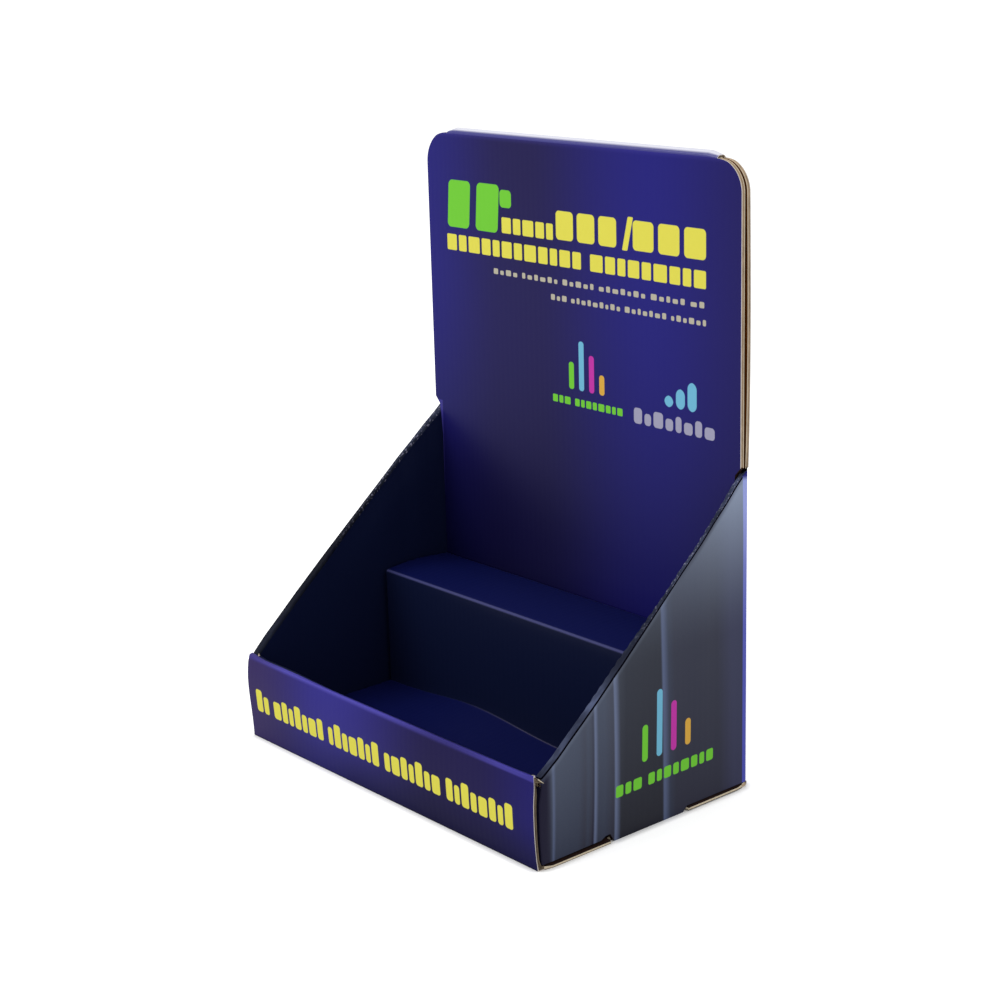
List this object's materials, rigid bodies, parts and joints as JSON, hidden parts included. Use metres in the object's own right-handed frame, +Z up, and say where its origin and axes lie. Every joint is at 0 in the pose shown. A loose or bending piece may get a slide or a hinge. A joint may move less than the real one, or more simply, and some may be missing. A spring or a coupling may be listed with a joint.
{
  "type": "cardboard display stand",
  "caption": "Counter display stand of corrugated board: a low tray with sloping sides and a tall rounded header, folded from one sheet, with a folded step insert that gives it two levels.",
  "frame": {"origin": "on the ground under the middle of the tray's footprint", "axes": "+X to the right as a customer sees the front, +Y from the front lip to the back panel, +Z up"},
  "size_m": [0.2, 0.121, 0.272],
  "materials": {
    "printed_board": "deep blue print under a gloss film, brown corrugated raw edges",
    "insert_board": "dark navy print under a gloss film, brown corrugated raw edges"
  },
  "bodies": {
    "root": {"display_body": "printed_board", "step_insert": "insert_board"}
  },
  "joints": []
}
